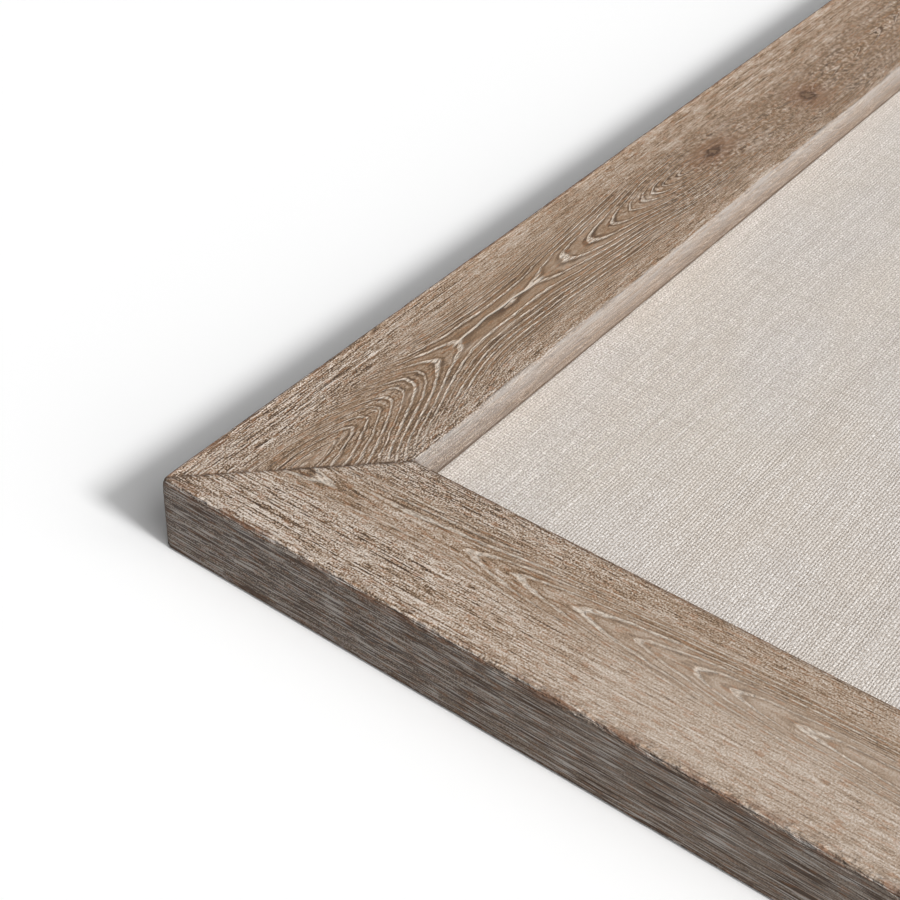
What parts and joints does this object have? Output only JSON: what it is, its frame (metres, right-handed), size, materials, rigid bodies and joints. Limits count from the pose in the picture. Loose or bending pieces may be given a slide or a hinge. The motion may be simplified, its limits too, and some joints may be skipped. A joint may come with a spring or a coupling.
{
  "type": "framed linen pin board",
  "caption": "Rectangular linen-covered pin board set back in a deep mitred limed-oak frame, with swinging D-ring strap hangers let into the back.",
  "frame": {"origin": "middle of the back of the frame, where the board lies or meets the wall", "axes": "+X across the board, +Y up the board when it hangs wide, +Z out of its face"},
  "size_m": [0.61, 0.457, 0.019],
  "materials": {
    "limed_oak": "matte",
    "linen": "matte",
    "cork": "matte",
    "fibreboard": "matte",
    "zinc_plated_steel": "satin"
  },
  "bodies": {
    "board": {"bottom_rail": "limed_oak", "right_rail": "limed_oak", "top_rail": "limed_oak", "left_rail": "limed_oak", "v_nail_bottom_outer": "zinc_plated_steel", "v_nail_bottom_inner": "zinc_plated_steel", "v_nail_right_outer": "zinc_plated_steel", "v_nail_right_inner": "zinc_plated_steel", "v_nail_top_outer": "zinc_plated_steel", "v_nail_top_inner": "zinc_plated_steel", "v_nail_left_outer": "zinc_plated_steel", "v_nail_left_inner": "zinc_plated_steel", "flexible_point_bottom_1": "zinc_plated_steel", "flexible_point_bottom_2": "zinc_plated_steel", "flexible_point_bottom_3": "zinc_plated_steel", "flexible_point_bottom_4": "zinc_plated_steel", "flexible_point_right_1": "zinc_plated_steel", "flexible_point_right_2": "zinc_plated_steel", "flexible_point_right_3": "zinc_plated_steel", "flexible_point_top_1": "zinc_plated_steel", "flexible_point_top_2": "zinc_plated_steel", "flexible_point_top_3": "zinc_plated_steel", "flexible_point_top_4": "zinc_plated_steel", "flexible_point_left_1": "zinc_plated_steel", "flexible_point_left_2": "zinc_plated_steel", "flexible_point_left_3": "zinc_plated_steel", "hanger_strap_bottom": "zinc_plated_steel", "hanger_strap_right": "zinc_plated_steel", "hanger_strap_top": "zinc_plated_steel", "hanger_strap_left": "zinc_plated_steel", "hanger_screw_bottom": "zinc_plated_steel", "hanger_screw_right": "zinc_plated_steel", "hanger_screw_top": "zinc_plated_steel", "hanger_screw_left": "zinc_plated_steel", "linen_cover": "linen", "cork_sheet": "cork", "fibreboard_core": "fibreboard"},
    "ring_bottom": {"hanger_ring_bottom": "zinc_plated_steel"},
    "ring_right": {"hanger_ring_right": "zinc_plated_steel"},
    "ring_top": {"hanger_ring_top": "zinc_plated_steel"},
    "ring_left": {"hanger_ring_left": "zinc_plated_steel"}
  },
  "joints": [
    {"name": "ring_left_swing", "type": "hinge", "parent": "board", "child": "ring_left", "pos_m": [-0.29, 0.1105, 0.0027], "axis": [-1, 0, 0], "range_deg": [0, 160]},
    {"name": "ring_right_swing", "type": "hinge", "parent": "board", "child": "ring_right", "pos_m": [0.29, 0.1105, 0.0027], "axis": [-1, 0, 0], "range_deg": [0, 160]},
    {"name": "ring_top_swing", "type": "hinge", "parent": "board", "child": "ring_top", "pos_m": [0.163, 0.2135, 0.0027], "axis": [0, 1, 0], "range_deg": [0, 160]},
    {"name": "ring_bottom_swing", "type": "hinge", "parent": "board", "child": "ring_bottom", "pos_m": [0.163, -0.2135, 0.0027], "axis": [0, 1, 0], "range_deg": [0, 160]}
  ]
}
